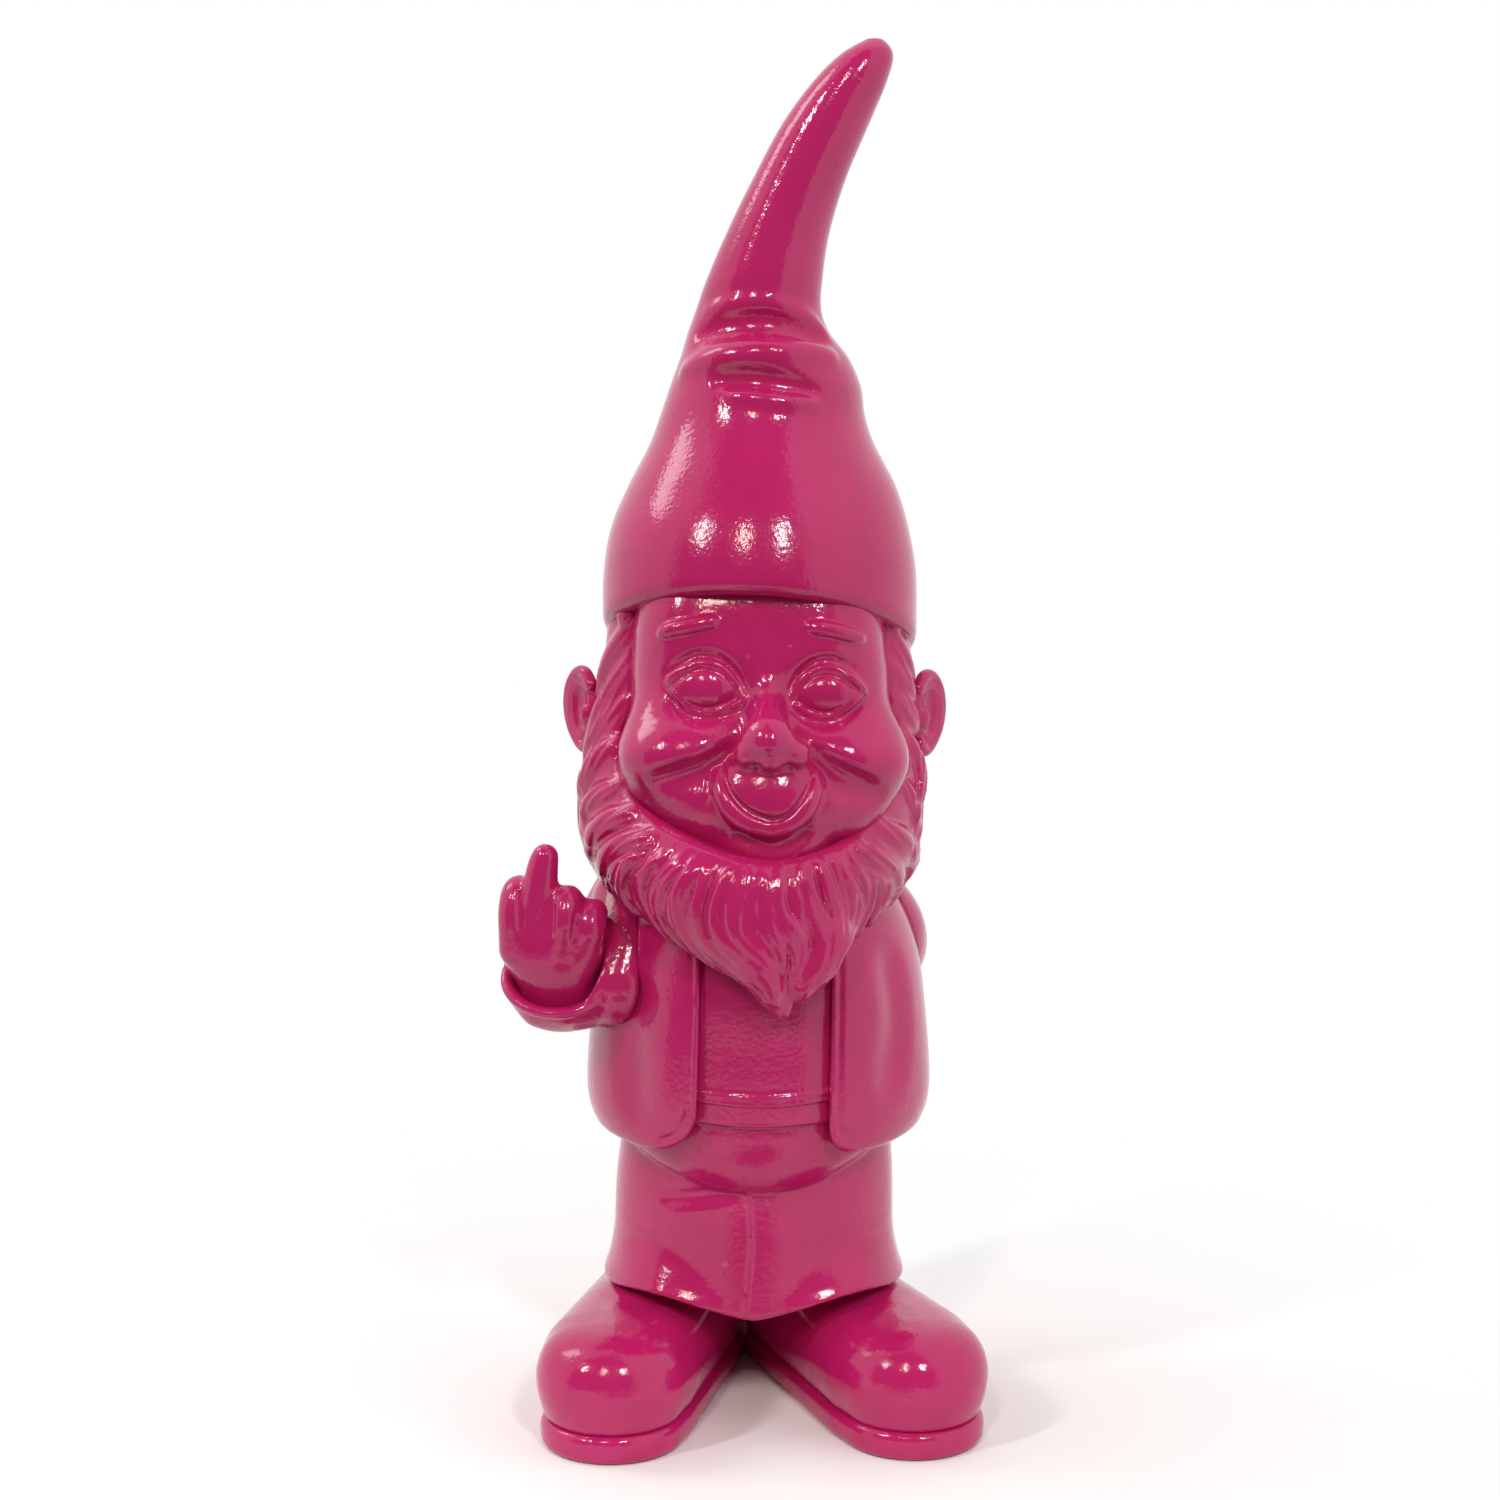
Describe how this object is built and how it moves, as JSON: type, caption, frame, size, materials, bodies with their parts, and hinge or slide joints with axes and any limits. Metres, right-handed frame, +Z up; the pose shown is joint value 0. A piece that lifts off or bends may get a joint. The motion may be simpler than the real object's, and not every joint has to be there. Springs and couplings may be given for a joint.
{
  "type": "garden gnome",
  "caption": "Glossy one-colour cast-resin garden gnome with a tall curved hat, full beard, open jacket and round-toed boots, one hand raised; soft vent plugs in the soles.",
  "frame": {"origin": "on the ground, under the middle of the whole figure's box", "axes": "+Z up along the figure, the face looks along -Y, the raised right hand is on the -X side"},
  "size_m": [0.1203, 0.1048, 0.3481],
  "materials": {
    "lacquer": "glossy magenta lacquer on cast resin",
    "plug": "matt soft plug",
    "steel": "plain steel wire and pins"
  },
  "bodies": {
    "figure": {"hat": "lacquer", "head": "lacquer", "beard": "lacquer", "back_hair": "lacquer", "torso": "lacquer", "jacket": "lacquer", "right_sleeve": "lacquer", "right_hand": "lacquer", "left_sleeve": "lacquer", "left_hand": "lacquer", "trousers": "lacquer", "right_boot": "lacquer", "left_boot": "lacquer", "heel_web": "lacquer", "right_sole": "lacquer", "left_sole": "lacquer", "finger_wire": "steel", "wrist_pin": "steel", "shoulder_pins": "steel"},
    "right_plug": {"right_plug": "plug"},
    "left_plug": {"left_plug": "plug"}
  },
  "joints": [
    {"name": "right_plug_pull", "type": "slide", "parent": "figure", "child": "right_plug", "axis": [0, 0, -1], "range_m": [0, 0.012]},
    {"name": "left_plug_pull", "type": "slide", "parent": "figure", "child": "left_plug", "axis": [0, 0, -1], "range_m": [0, 0.012]}
  ]
}
